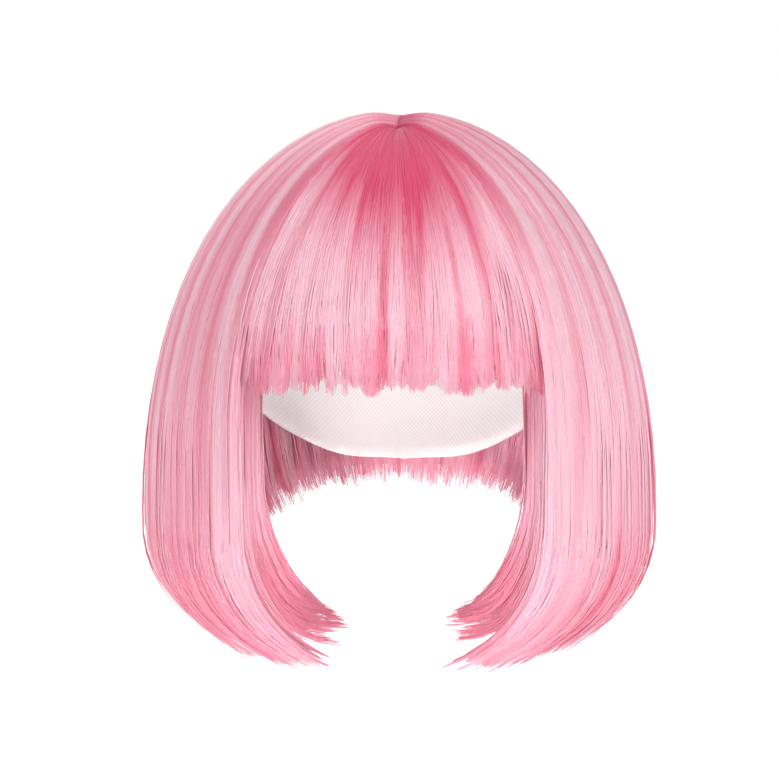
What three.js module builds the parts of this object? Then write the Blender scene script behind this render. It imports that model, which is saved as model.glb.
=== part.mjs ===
// A synthetic bob wig with a full fringe: a net cap that carries the hair, and the hair as the fringe, an over
// and an under layer on each side, and the back. Millimetres and degrees. The origin is inside the top of the
// cap, where the crown of a head touches it, +Z is up and the wearer faces -Y. A turn is the way that hair
// hangs, seen from above: 0 is the front, 90 the wearer's left, which is +X, and 180 the back.
import * as THREE from "three";

// The inside of the cap fits a head of 545 mm round: half its breadth, its depth to the front and to the back,
// and its height above the widest level.
const CAP = { halfWidth: 76, front: 95, back: 98, height: 92, wall: 1.2, columns: 40, rows: 9 };
// The cap's lower edge: hairline, temple, ear tab, over the ear, behind it, nape.
const CAP_EDGE = [
  { turn: 0, edge: -46 },
  { turn: 35, edge: -62 },
  { turn: 58, edge: -98 },
  { turn: 74, edge: -112 },
  { turn: 96, edge: -98 },
  { turn: 122, edge: -124 },
  { turn: 150, edge: -142 },
  { turn: 180, edge: -146 },
];

// The hair's outer dome, whose widest level lies lower at the sides than at the front and the back. Its section
// is an ellipse of this power, so a little fuller than one of power 2.
const HAIR = { halfWidth: 112.5, front: 112, back: 120, top: 17.3, fullness: 2.06 };
const WIDEST = { front: -100, side: -149, back: -80 };
const CAP_GAP = 0.9;

// The parting runs along the top from the head of the fringe to the crown, in a shallow groove.
const PARTING = { front: -24, crown: 28, halfGap: 0.6, fan: 4, depth: 3, width: 7 };

// How hair hangs below the dome's widest level: straight down to curlFrom, then round an arc of this radius
// and angle, towards the inside of the turn named as heading.
const OUTER_HANG = [
  { turn: 36, curlFrom: -159, radius: 62, angle: 65, heading: 80 },
  { turn: 60, curlFrom: -162, radius: 58, angle: 58, heading: 84 },
  { turn: 90, curlFrom: -163, radius: 55, angle: 48, heading: 92 },
  { turn: 118, curlFrom: -130, radius: 80, angle: 43, heading: 120 },
  { turn: 150, curlFrom: -96, radius: 108, angle: 40, heading: 150 },
  { turn: 180, curlFrom: -80, radius: 124, angle: 41, heading: 180 },
];
const INNER_HANG = [
  { turn: 43, curlFrom: -143, radius: 65, angle: 60, heading: 80 },
  { turn: 60, curlFrom: -146, radius: 62, angle: 54, heading: 84 },
  { turn: 90, curlFrom: -148, radius: 55, angle: 44, heading: 92 },
  { turn: 118, curlFrom: -120, radius: 78, angle: 38, heading: 120 },
  { turn: 150, curlFrom: -96, radius: 100, angle: 37, heading: 150 },
  { turn: 180, curlFrom: -92, radius: 105, angle: 37, heading: 180 },
];

// The fringe is cut at a level, a little lower at its two ends. Its head is sunk between the side hair, to a
// share of the hair's thickness, and its tips thin from both faces. Each happens over a stretch of its length.
const FRINGE = { cut: -94, ends: 2 };
const FRINGE_HEAD = { share: 0.72, stretch: [0, 0.6] };
const FRINGE_OUTSIDE = { thins: 0.1, stretch: [0.75, 1] };
const FRINGE_INSIDE = { thins: 0.5, stretch: [0.45, 1] };

// Each mass of hair: the turns it spans on its outer and inner face, its pointed locks, the share of its length
// that is cut away between two locks, the depth of the groove there as a share of its thickness, its facets.
const MASSES = {
  fringe: { outer: [-35.2, 35.2], inner: [-42.2, 42.2], locks: 13, notch: 0.04, groove: 0.1, facets: [26, 8] },
  over: { outer: [36, 118], inner: [43, 118], locks: 6, notch: 0.035, groove: 0.07, facets: [24, 17] },
  under: { outer: [36, 118], inner: [43, 118], locks: 5, notch: 0.03, groove: 0.06, facets: [15, 11] },
  back: { outer: [118.7, 241.3], inner: [118.7, 241.3], locks: 9, notch: 0.03, groove: 0.06, facets: [27, 12] },
};
// The grooves deepen over this stretch of the hair's length.
const GROOVES_DEEPEN = [0.2, 0.7];
// Where the under layer starts, as a share of the hair's length, over which stretch it grows to its thickness,
// and that thickness at its front edge and past it, and the gap to the over layer, as shares of all the hair's
// thickness.
const UNDER = { start: 0.3, grows: [0.12, 0.34], front: 0.7, past: 0.47, frontShare: 0.25, gap: 0.05 };

const { degToRad, lerp, smoothstep } = THREE.MathUtils;

// The value of a table's column at a turn, on a smooth curve through its rows.
function tableAt(rows, column, turn) {
  const last = rows.length - 1;
  const at = THREE.MathUtils.clamp(turn, rows[0].turn, rows[last].turn);
  const i = Math.min(last - 1, rows.findLastIndex((row) => row.turn <= at));
  const slope = (a, b) => (rows[b][column] - rows[a][column]) / (rows[b].turn - rows[a].turn);
  const step = rows[i + 1].turn - rows[i].turn;
  const s = (at - rows[i].turn) / step;
  const leave = slope(Math.max(0, i - 1), i + 1) * step;
  const arrive = slope(i, Math.min(last, i + 2)) * step;
  const from = rows[i][column];
  const to = rows[i + 1][column];
  const bend = 2 * (from - to) + leave + arrive;
  return from + s * (leave + s * (3 * (to - from) - 2 * leave - arrive + s * bend));
}

// A turn past 180 mirrors one before it.
const oneSide = (turn) => Math.min(Math.abs(turn), 360 - Math.abs(turn));

// The outer face of the hair, and the face that lies on the cap, as domes over the plan.
const outerDome = {
  ...HAIR,
  level: (frontal, sideways) => lerp(frontal ? WIDEST.front : WIDEST.back, WIDEST.side, sideways),
  groove: PARTING.depth,
};
const innerDome = {
  halfWidth: CAP.halfWidth + CAP.wall + CAP_GAP,
  front: CAP.front + CAP.wall + CAP_GAP,
  back: CAP.back + CAP.wall + CAP_GAP,
  top: CAP.wall + CAP_GAP,
  fullness: 2,
  level: () => -CAP.height,
  groove: 0,
};

// Where a dome is widest at a turn, in plan.
function rim(dome, turn) {
  const across = Math.sin(degToRad(turn));
  const ahead = Math.cos(degToRad(turn));
  return new THREE.Vector2(dome.halfWidth * across, -(ahead > 0 ? dome.front : dome.back) * ahead);
}

// The height of a dome over a point of the plan: an ellipse down to its widest level, less the parting.
function domeHeight(dome, { x, y }) {
  const across = (x / dome.halfWidth) ** 2;
  const spread = across + (y / (y < 0 ? dome.front : dome.back)) ** 2;
  const level = dome.level(y < 0, spread > 0 ? across / spread : 0);
  const alongParting = smoothstep(-y, -PARTING.crown, 0) * smoothstep(y, 2 * PARTING.front, PARTING.front);
  const dip = dome.groove * alongParting * Math.exp(-((x / PARTING.width) ** 2));
  const rise = Math.max(0, 1 - spread ** (dome.fullness / 2)) ** (1 / dome.fullness);
  return level + (dome.top - level) * rise - dip;
}

// One hair: over the dome from its root in plan to the rim at its turn, straight down, then round its curl.
class Hair extends THREE.Curve {
  constructor(dome, root, turn, hang) {
    super();
    this.arcLengthDivisions = 90;
    this.dome = dome;
    this.root = root;
    this.rim = rim(dome, turn);
    this.level = domeHeight(dome, this.rim);
    this.curlFrom = Math.min(this.level, hang.curlFrom);
    this.radius = hang.radius;
    this.angle = degToRad(hang.angle);
    this.inward = new THREE.Vector2(-Math.sin(degToRad(hang.heading)), Math.cos(degToRad(hang.heading)));
  }

  getPoint(t, target = new THREE.Vector3()) {
    const third = Math.min(2, Math.floor(3 * t));
    const s = 3 * t - third;
    if (third === 0) {
      const plan = this.root.clone().lerp(this.rim, Math.sin((s * Math.PI) / 2));
      return target.set(plan.x, plan.y, domeHeight(this.dome, plan));
    }
    if (third === 1) return target.set(this.rim.x, this.rim.y, lerp(this.level, this.curlFrom, s));
    const inward = this.radius * (1 - Math.cos(s * this.angle));
    const drop = this.radius * Math.sin(s * this.angle);
    const plan = this.rim.clone().addScaledVector(this.inward, inward);
    return target.set(plan.x, plan.y, this.curlFrom - drop);
  }

  // The share of its length that lies above a level, by halving.
  shareAbove(level) {
    let low = 0;
    let high = 1;
    for (let halving = 0; halving < 16; halving++) {
      const middle = (low + high) / 2;
      if (this.getPointAt(middle).z > level) low = middle;
      else high = middle;
    }
    return low;
  }
}

// The roots of a mass in plan: a small fan at each end of the parting, and a line beside it for the sides.
function fanRoot(y, turn) {
  const reach = PARTING.fan / 2;
  return new THREE.Vector2(reach * Math.sin(degToRad(turn)), y - reach * Math.cos(degToRad(turn)));
}
const fringeRoot = (turn) => fanRoot(PARTING.front - PARTING.fan, turn);
const backRoot = (turn) => fanRoot(PARTING.crown + PARTING.fan, turn);
const sideRoot = (turn, share) => new THREE.Vector2(PARTING.halfGap, lerp(PARTING.front, PARTING.crown, share));

// The hang of side and back hair comes from the tables, and fringe hair is cut before it hangs.
function hangFromTables(face, turn) {
  const rows = face === "outer" ? OUTER_HANG : INNER_HANG;
  const columns = ["curlFrom", "radius", "angle", "heading"];
  const hang = Object.fromEntries(columns.map((column) => [column, tableAt(rows, column, oneSide(turn))]));
  return turn > 180 ? { ...hang, heading: 360 - hang.heading } : hang;
}
const fringeHang = (face, turn) => ({ curlFrom: 2 * FRINGE.cut, radius: 0, angle: 0, heading: turn });

// The level at which the fringe is cut, at a share of the way across it.
const fringeCut = (share) => FRINGE.cut - FRINGE.ends * (2 * share - 1) ** 2;

// The hairs on the outer and the inner face of a mass, at a share of the way across it, each with the share of
// its length that is kept.
function facesOf(mass, share, rootAt, hangAt, cutAt) {
  return ["outer", "inner"].map((face) => {
    const turn = lerp(...mass[face], share);
    const dome = face === "outer" ? outerDome : innerDome;
    const hair = new Hair(dome, rootAt(turn, share), turn, hangAt(face, turn));
    return { hair, kept: cutAt ? hair.shareAbove(cutAt(share)) : 1 };
  });
}

// A closed solid between two grids of points, the outer one and the inner one, with the same columns and rows.
function slab([columns, rows], pointAt) {
  const across = columns + 1;
  const layer = across * (rows + 1);
  const positions = [];
  for (const face of [0, 1])
    for (let row = 0; row <= rows; row++)
      for (let column = 0; column <= columns; column++)
        positions.push(...pointAt(column / columns, row / rows, face).toArray());
  const index = [];
  const quad = (a, b, c, d) => index.push(a, b, c, a, c, d);
  const at = (column, row, face) => face * layer + row * across + column;
  for (let row = 0; row < rows; row++)
    for (let column = 0; column < columns; column++) {
      quad(at(column, row, 0), at(column, row + 1, 0), at(column + 1, row + 1, 0), at(column + 1, row, 0));
      quad(at(column, row, 1), at(column + 1, row, 1), at(column + 1, row + 1, 1), at(column, row + 1, 1));
    }
  for (let column = 0; column < columns; column++) {
    quad(at(column, 0, 0), at(column + 1, 0, 0), at(column + 1, 0, 1), at(column, 0, 1));
    quad(at(column, rows, 0), at(column, rows, 1), at(column + 1, rows, 1), at(column + 1, rows, 0));
  }
  for (let row = 0; row < rows; row++) {
    quad(at(0, row, 0), at(0, row, 1), at(0, row + 1, 1), at(0, row + 1, 0));
    quad(at(columns, row, 0), at(columns, row + 1, 0), at(columns, row + 1, 1), at(columns, row, 1));
  }
  return meshGeometry(positions, index);
}

function meshGeometry(positions, index) {
  const geometry = new THREE.BufferGeometry();
  geometry.setAttribute("position", new THREE.Float32BufferAttribute(positions, 3));
  geometry.setIndex(index);
  geometry.computeVertexNormals();
  return geometry;
}

// A mass of hair as a solid of its outer form. The layers give the shares of the hair's thickness, from the cap
// to the outer face, between which it lies at a share of its length and of the way across it, and start is
// where its roots are.
function massGeometry(mass, { rootAt, hangAt, layers, cutAt = null, start = 0 }) {
  const strands = new Map();
  const facesAt = (share) => {
    if (!strands.has(share)) strands.set(share, facesOf(mass, share, rootAt, hangAt, cutAt));
    return strands.get(share);
  };
  return slab(mass.facets, (share, row, face) => {
    const between = Math.abs(Math.sin(Math.PI * mass.locks * share));
    const along = lerp(start, 1 - mass.notch * between, row);
    const [outerShare, innerShare] = layers(along, share);
    const groove = mass.groove * between ** 3 * smoothstep(along, ...GROOVES_DEEPEN);
    const layer = face === 0 ? outerShare - groove : innerShare;
    const [outer, inner] = facesAt(share).map(({ hair, kept }) => hair.getPointAt(along * kept));
    return inner.lerp(outer, layer);
  });
}

function underThickness(along, share) {
  const full = lerp(UNDER.front, UNDER.past, smoothstep(share, 0, UNDER.frontShare));
  return full * smoothstep(along, ...UNDER.grows);
}
const fringeLayers = (along) => [
  lerp(FRINGE_HEAD.share, 1, smoothstep(along, ...FRINGE_HEAD.stretch)) -
    FRINGE_OUTSIDE.thins * smoothstep(along, ...FRINGE_OUTSIDE.stretch),
  FRINGE_INSIDE.thins * smoothstep(along, ...FRINGE_INSIDE.stretch),
];
const overLayers = (along, share) => [1, underThickness(along, share)];
const underLayers = (along, share) => [underThickness(along, share) - UNDER.gap, 0];
const backLayers = () => [1, 0];

const fringe = massGeometry(MASSES.fringe, {
  rootAt: fringeRoot,
  hangAt: fringeHang,
  layers: fringeLayers,
  cutAt: fringeCut,
});
const over = massGeometry(MASSES.over, { rootAt: sideRoot, hangAt: hangFromTables, layers: overLayers });
const under = massGeometry(MASSES.under, {
  rootAt: sideRoot,
  hangAt: hangFromTables,
  layers: underLayers,
  start: UNDER.start,
});
const back = massGeometry(MASSES.back, { rootAt: backRoot, hangAt: hangFromTables, layers: backLayers });

// The cap: a thin wall of an ellipsoid, open below an edge that follows the hairline. Its crown is one point.
function capGeometry() {
  const { columns, rows } = CAP;
  const positions = [];
  for (const wall of [CAP.wall, 0]) {
    positions.push(0, 0, wall);
    for (let row = 1; row <= rows; row++)
      for (let column = 0; column < columns; column++) {
        const turn = (360 * column) / columns;
        const edge = tableAt(CAP_EDGE, "edge", oneSide(turn));
        const down = (row / rows) * Math.acos((edge + CAP.height) / CAP.height);
        const across = Math.sin(degToRad(turn));
        const ahead = Math.cos(degToRad(turn));
        const depth = (ahead > 0 ? CAP.front : CAP.back) + wall;
        positions.push(
          (CAP.halfWidth + wall) * Math.sin(down) * across,
          -depth * Math.sin(down) * ahead,
          (CAP.height + wall) * Math.cos(down) - CAP.height,
        );
      }
  }
  const layer = 1 + columns * rows;
  const inRing = (column, row) => (row === 0 ? 0 : 1 + (row - 1) * columns + (column % columns));
  const at = (column, row, face) => face * layer + inRing(column, row);
  const index = [];
  for (let column = 0; column < columns; column++) {
    for (let row = 0; row < rows; row++) {
      const [a, b, c, d] = [0, 1].flatMap((face) => [at(column, row, face), at(column + 1, row, face)]);
      const [e, f, g, h] = [0, 1].flatMap((face) => [at(column, row + 1, face), at(column + 1, row + 1, face)]);
      index.push(a, e, f, c, h, g);
      if (row > 0) index.push(a, f, b, c, d, h);
    }
    index.push(at(column, rows, 0), at(column, rows, 1), at(column + 1, rows, 1));
    index.push(at(column, rows, 0), at(column + 1, rows, 1), at(column + 1, rows, 0));
  }
  return meshGeometry(positions, index);
}

const finish = (name, color, roughness) => new THREE.MeshStandardMaterial({ name, color, roughness });
const topHair = finish("top_hair", 0xf2a0ba, 0.45);
const shadedHair = finish("shaded_hair", 0xe58aa6, 0.45);
const net = finish("net", 0xf3e6e4, 0.85);

function addMesh(group, name, geometry, material) {
  const mesh = new THREE.Mesh(geometry, material);
  mesh.name = name;
  group.add(mesh);
}

// The hair of one side, over and under. The other side is its mirror image.
function addSide(parent, side, mirror) {
  const group = new THREE.Group();
  group.scale.x = mirror;
  addMesh(group, `side_hair_${side}`, over, topHair);
  addMesh(group, `under_hair_${side}`, under, shadedHair);
  parent.add(group);
}

const wig = new THREE.Group();
wig.name = "bob_wig";
addMesh(wig, "cap", capGeometry(), net);
addMesh(wig, "fringe", fringe, topHair);
addSide(wig, "left", 1);
addSide(wig, "right", -1);
addMesh(wig, "back_hair", back, topHair);

export default wig;
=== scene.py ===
"""A pink bob wig of synthetic hair: a net cap, and fringe, side, under and back hair combed in locks.

Metres, +Z up. The wearer faces -Y, and +X is the wearer's left. A turn is the way that hair hangs, seen
from above: 0 is the front, 90 the wearer's left and 180 the back.
"""

import math
from collections import namedtuple
from types import SimpleNamespace

import bpy
import numpy as np
from bpy.props import FloatProperty, FloatVectorProperty, IntProperty, PointerProperty
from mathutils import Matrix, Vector


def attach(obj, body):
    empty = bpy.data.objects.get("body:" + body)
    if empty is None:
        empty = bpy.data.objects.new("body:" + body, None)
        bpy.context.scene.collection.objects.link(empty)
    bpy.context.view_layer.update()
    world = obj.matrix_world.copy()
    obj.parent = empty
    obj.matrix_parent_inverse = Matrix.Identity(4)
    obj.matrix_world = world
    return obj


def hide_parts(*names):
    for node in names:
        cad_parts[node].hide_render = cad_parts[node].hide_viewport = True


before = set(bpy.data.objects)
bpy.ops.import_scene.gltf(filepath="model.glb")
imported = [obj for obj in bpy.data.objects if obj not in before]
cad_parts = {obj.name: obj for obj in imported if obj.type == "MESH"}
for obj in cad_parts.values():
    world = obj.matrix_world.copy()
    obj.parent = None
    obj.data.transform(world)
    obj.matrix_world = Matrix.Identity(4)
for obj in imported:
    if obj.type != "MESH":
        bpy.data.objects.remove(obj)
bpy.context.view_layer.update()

bl_info = {
    "name": "Bob wig",
    "version": (1, 0, 0),
    "blender": (4, 5, 0),
    "location": "3D View > Sidebar > Wig",
    "description": "Builds a synthetic bob wig with a full fringe, strand by strand, on its frame",
    "category": "Add Mesh",
}

BODY = "root"
SIDES = {"left": 1.0, "right": -1.0}
SENSOR_WIDTH_MM = 36.0
CAMERA_REACH = 100.0
WHITE = (1.0, 1.0, 1.0, 1.0)
TINY = 1e-12


def number(name, default, description, **more):
    """A number that a user may change."""
    return FloatProperty(name=name, description=description, default=default, **more)


def length(name, default, description):
    """A size in metres."""
    return number(name, default, description, unit="LENGTH", precision=4)


def share(name, default, description):
    """A share from 0 to 1."""
    return number(name, default, description, subtype="FACTOR", min=0.0, max=1.0)


def degrees(name, default, description):
    """An angle, with its default in degrees."""
    return number(name, math.radians(default), description, subtype="ANGLE")


def power(name, default, description):
    """A light's power in watts."""
    return number(name, default, description, unit="POWER")


def colour(name, default, description):
    """A linear colour that a user may change."""
    return FloatVectorProperty(name=name, description=description, default=default, subtype="COLOR",
                               size=3, min=0.0, max=1.0)


class WigShape(bpy.types.PropertyGroup):
    """Sizes of the head that the cap fits and of the hair round it."""

    cap_half_width: length("Cap half width", 0.076, "Half the breadth inside the cap")
    cap_front: length("Cap front", 0.095, "Depth inside the cap, from the crown to the front")
    cap_back: length("Cap back", 0.098, "Depth inside the cap, from the crown to the back")
    cap_height: length("Cap height", 0.092, "Height of the crown over the head's widest level")
    cap_wall: length("Cap wall", 0.0012, "Thickness of the cap's net")
    cap_gap: length("Cap gap", 0.0009, "Gap between the cap and the hair's inner face")
    half_width: length("Hair half width", 0.1125, "Half the breadth over the hair")
    front: length("Hair front", 0.112, "Depth over the hair, from the crown to the front")
    back: length("Hair back", 0.120, "Depth over the hair, from the crown to the back")
    top: length("Hair top", 0.0173, "Height of the hair over the cap's crown")
    fullness: number("Fullness", 2.06, "Power of the ellipse of the hair's dome")
    front_level: length("Front level", -0.100, "Height at which the hair is widest in front")
    side_level: length("Side level", -0.149, "Height at which the hair is widest at the sides")
    back_level: length("Back level", -0.080, "Height at which the hair is widest behind")
    parting_front: length("Parting front", -0.024, "Where the parting starts, in front of the crown")
    parting_crown: length("Parting crown", 0.028, "Where the parting ends, behind the crown")
    parting_gap: length("Parting gap", 0.0001, "Half the gap between the roots along the parting")
    parting_fan: length("Parting fan", 0.0016, "Reach of the fan of roots at each end of the parting")
    parting_depth: length("Parting depth", 0.003, "Depth of the parting's groove")
    parting_width: length("Parting width", 0.0045, "Half width of the parting's groove")
    fringe_cut: length("Fringe cut", -0.094, "Height at which the fringe is cut")
    fringe_ends: length("Fringe ends", 0.002, "How much lower the fringe is cut at its two ends")


class WigStrands(bpy.types.PropertyGroup):
    """How the hair is combed."""

    seed: IntProperty(name="Seed", description="Start of the random draws", default=11)
    strand_radius: length("Strand radius", 0.0004, "Radius of one modelled strand")
    pointed: share("Pointed", 0.03, "How much shorter the outer strands of a lock are")
    ragged: share("Ragged", 0.035, "How much the lengths of the locks differ")
    waver: share("Waver", 0.25, "How far a strand strays from its line, in widths of its lock")
    stray: share("Stray", 0.03, "Share of the strands that leave their lock towards the tip")
    stray_rise: share("Stray rise", 0.14, "How far out they end, of the hair's thickness")
    root_depth: share("Root depth", 0.92, "How deep in the hair the roots lie, of their strands' depth")
    root_rise: share("Root rise", 0.05, "Share of its length over which a strand rises from its root")


class WigColours(bpy.types.PropertyGroup):
    """Colours of the fibre, the cap and the floor."""

    light: colour("Light pink", (0.97, 0.56, 0.665), "Colour of the lightest lengths")
    middle: colour("Middle pink", (0.92, 0.29, 0.41), "Colour between the streaks")
    # The deep pink is the deepest streaks' own colour, and also painted root shadow at the roots.
    deep: colour("Deep pink", (0.74, 0.075, 0.175), "Colour of the roots and the deepest streaks")
    net: colour("Net", (0.97, 0.955, 0.95), "Colour of the cap's net")
    floor: colour("Floor", (0.9, 0.9, 0.9), "Colour of the floor")


class WigStage(bpy.types.PropertyGroup):
    """The camera and the lights."""

    azimuth: degrees("Azimuth", 2.0, "Turn of the camera from the front towards +X")
    elevation: degrees("Elevation", 6.0, "Height of the camera over the horizon")
    distance: length("Distance", 2.0, "From the camera to the wig")
    frame_width: length("Frame width", 0.3428, "Width of the view at the wig")
    aim_right: length("Aim right", -0.0042, "Middle of the view, to the right of the origin")
    aim_up: length("Aim up", -0.1047, "Middle of the view, over the origin")
    floor_level: length("Floor level", -0.5, "Height of the floor")
    key: power("Key light", 14.0, "Power of the main light")
    above: power("Top light", 9.0, "Power of the light over the wig")
    fill: power("Fill light", 5.0, "Power of the low light in front")
    behind: power("Back light", 5.0, "Power of the light behind")
    low: power("Low light", 0.04, "Power of the narrow light into the cap")
    beside: power("Side light", 0.009, "Power of the narrow light on the left under hair")
    ambient: share("Ambient", 0.66, "Strength of the light from all round")


def settings():
    """The wig's properties on the scene."""
    scene = bpy.context.scene
    return SimpleNamespace(shape=scene.wig_shape, strands=scene.wig_strands, colours=scene.wig_colours,
                           stage=scene.wig_stage)


# How hair hangs below the dome's widest level, by turn: straight down to a height, then round an arc of a
# radius and an angle, towards the inside of another turn. Columns: turn, height, radius, angle, heading.
OUTER_HANG = np.array([
    (36, -0.159, 0.062, 65, 80),
    (60, -0.162, 0.058, 58, 84),
    (90, -0.163, 0.055, 48, 92),
    (118, -0.130, 0.080, 43, 120),
    (150, -0.096, 0.108, 40, 150),
    (180, -0.080, 0.124, 41, 180),
])
INNER_HANG = np.array([
    (43, -0.134, 0.078, 55, 80),
    (60, -0.140, 0.070, 51, 84),
    (90, -0.148, 0.055, 44, 92),
    (118, -0.120, 0.078, 38, 120),
    (150, -0.096, 0.100, 37, 150),
    (180, -0.092, 0.105, 37, 180),
])
# The height of the cap's edge by turn: hairline, temple, ear tab, over the ear, behind it and nape.
CAP_EDGE = np.array([
    (0, -0.046),
    (35, -0.062),
    (58, -0.098),
    (74, -0.112),
    (96, -0.098),
    (122, -0.124),
    (150, -0.142),
    (180, -0.146),
])
CAP_GRID = SimpleNamespace(columns=144, rows=40)
# How far the cap's bound edge stands out from its net, and where down the cap it starts and ends.
CAP_HEM = SimpleNamespace(stands=0.0005, starts=(0.94, 0.96), ends=(0.995, 1.0))

# Turns that each mass of hair spans on its outer and on its inner face.
SPANS = {
    "fringe": SimpleNamespace(outer=(-37.2, 37.2), inner=(-44.0, 44.0)),
    "side": SimpleNamespace(outer=(36, 118.4), inner=(46, 118.4)),
    "back": SimpleNamespace(outer=(118, 242), inner=(118, 242)),
}
# The head of the fringe is sunk to a share of the hair's thickness, and its tips thin from both faces.
# Each happens over a stretch of its length.
FRINGE_HEAD = SimpleNamespace(share=0.98, stretch=(0.0, 0.6))
FRINGE_OUTSIDE = SimpleNamespace(thins=0.1, stretch=(0.75, 1.0))
FRINGE_INSIDE = SimpleNamespace(thins=0.5, stretch=(0.45, 1.0))
# Where the under layer starts along the hair, the stretch over which it grows, and its share of the
# hair's thickness at the front edge and past it, with the gap to the layer over it.
UNDER = SimpleNamespace(start=0.3, grows=(0.12, 0.34), front=0.7, past=0.47, front_share=0.25, gap=0.05)
# Steps in each of a hair's three stretches, and points across and along the faces of a mass.
PATH_STEPS = 128
GRID = SimpleNamespace(columns=161, rows=161)

# The strands of each mass, a row for each layer. Its locks lie side by side from a low share of the mass
# to its far side, and bulge out of a level by a thickness. On the outside they lie across the mass and
# the level is a depth from its inner to its outer face, and on the front edge it is the other way round.
# A layer starts some way along the hair, because what lies under another shows only at the tips. There
# its locks close up by a share of their width. Last are the numbers of locks and strands.
Layer = namedtuple("Layer", "face level thick low start clump locks strands")
LAYERS = {
    "fringe": [
        Layer("outside", 0.965, 0.03, 0.0, 0.0, 0.45, 17, 1100),
        Layer("outside", 0.88, 0.05, 0.0, 0.6, 0.6, 31, 480),
        Layer("outside", 0.45, 0.30, 0.0, 0.6, 0.4, 17, 380),
    ],
    "side": [
        Layer("outside", 0.97, 0.022, 0.0, 0.0, 0.5, 30, 730),
        Layer("outside", 0.88, 0.04, 0.0, 0.6, 0.2, 24, 320),
        Layer("front", 0.02, -0.03, 0.0, 0.45, 0.4, 5, 180),
        Layer("outside", 0.25, 0.22, 0.0, 0.7, 0.3, 18, 240),
    ],
    "under": [
        Layer("outside", 0.90, 0.12, 0.08, 0.6, 0.4, 12, 350),
        Layer("front", 0.02, -0.025, 0.0, 0.0, 0.3, 7, 380),
        Layer("outside", 0.40, 0.25, 0.08, 0.7, 0.4, 10, 250),
        Layer("outside", 0.04, -0.06, 0.0, 0.2, 0.3, 14, 340),
    ],
    "back": [
        Layer("outside", 0.97, 0.03, 0.0, 0.0, 0.4, 42, 880),
        Layer("outside", 0.90, 0.05, 0.0, 0.7, 0.1, 32, 280),
        Layer("outside", 0.40, 0.30, 0.0, 0.75, 0.1, 24, 320),
        Layer("outside", 0.04, -0.05, 0.0, 0.6, 0.3, 26, 640),
    ],
}
# The tips of each mass: the longest strands' length as a share of the mass's, the depth to which the tips
# draw and how far they do, where along the hair the locks start to close, the depth of the longest
# strands and how much shorter those away from it are, how much shorter those at the front edge are, how
# far the tips turn up and how far they spread outwards, and how much the lengths in a lock differ.
Tips = namedtuple("Tips", "longest depth gather closes peak slant front_slant flick spread uneven")
TIPS = {
    "fringe": Tips(1.03, 0.88, 0.3, 0.86, 0.0, 0.0, 0.0, 0.0, 0.0, 0.008),
    "side": Tips(1.07, 0.65, 0.15, 0.76, 0.0, 0.0, 0.035, 0.0, 0.0, 0.013),
    "under": Tips(1.07, 0.6, 0.15, 0.76, 0.5, 0.32, 0.0, 0.009, 0.6, 0.035),
    "back": Tips(1.0, 0.6, 0.2, 0.76, 0.0, 0.0, 0.0, 0.0, 0.0, 0.008),
}
# A lock, in its own widths and thicknesses: how far its middle is moved from its even place, half the
# width that its strands take up, the power that makes most locks long, how much the tones of locks and of
# strands differ, how far a tip drifts sideways and in depth, how much flatter than a half round it is,
# how far its strands ripple, the most that it bulges, and where along the hair it is closed.
LOCK = SimpleNamespace(moved=0.25, half=0.75, ragged=1.5, tone=0.2, strand_tone=0.07, drift=0.35, sink=0.5,
                       flat=0.4, ripple=0.15, bulge=1.2, closed=1.02)
# The fewest and the most waves along a strand, and how much thinner its tip is.
WAVES = (0.4, 1.3)
THIN_TIP = 0.7
# Stretches along the hair over which each of these comes in.
OVER = SimpleNamespace(waver=(0.0, 0.35), ripple=(0.05, 0.4), drift=(0.5, 1.0), sink=(0.3, 0.9),
                       stray=(0.5, 1.0), gather=(0.8, 1.0), spread=(0.72, 1.0), thin=(0.85, 1.0))
# Where along a strand its tip starts to turn up, and how far the front edge reaches into the mass.
FLICK_FROM = 0.82
FRONT_REACH = 0.2
# How deep a layer that starts along the hair lies there, of its own depth, so that its ends don't show.
BURIED_START = 0.8
# Rings of corners on a strand, how many times closer they are over the first stretch, where the parting
# bends it, and what straight hair counts, as a share of the mean bend.
STATIONS = {"fringe": 18, "side": 34, "under": 18, "back": 23}
ROOT_CLOSER = SimpleNamespace(stretch=0.08, times=3.0)
STRAIGHT = 0.15
# Margin of a strand's cell on the map for baking, and the corners of its root's triangle there.
MAP_INSET = 0.08
MAP_ROOT = np.array([(0.1, 0.1), (0.9, 0.1), (0.5, 0.2)])

# The closed base under the strands of each mass: its columns and rows, where along the hair it stops, and
# the depth of its outer face.
Base = namedtuple("Base", "columns rows stop surface")
BASES = {
    "fringe": Base(70, 26, 0.9, 0.945),
    "side": Base(64, 44, 0.95, 0.955),
    "under": Base(40, 30, 0.95, 0.85),
    "back": Base(80, 36, 0.95, 0.955),
}
# All bases: how far they stay back from the side edges and over what breadth they thin towards them, how
# much they do, the power that crowds the rows at the roots, the share of the outer depth at the roots,
# the depth of the inner face, the length over which the tips close and how thick they end, and the
# strands' tone that they have.
BASE_FORM = SimpleNamespace(margin=0.012, edge=0.025, thins=0.98, crowds=1.3, root=0.86, inside=0.13,
                            closes=0.25, ends=0.05, tone=0.42)
# A base's two faces side by side on the map for baking: their margin, width, height and step. A strip
# along an edge is narrow there: its corners past a place move back by the step, to a little beside it.
WALL_MAP = SimpleNamespace(margin=0.01, wide=0.45, high=0.98, step=0.5, past=0.49, edge=0.004)
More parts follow.
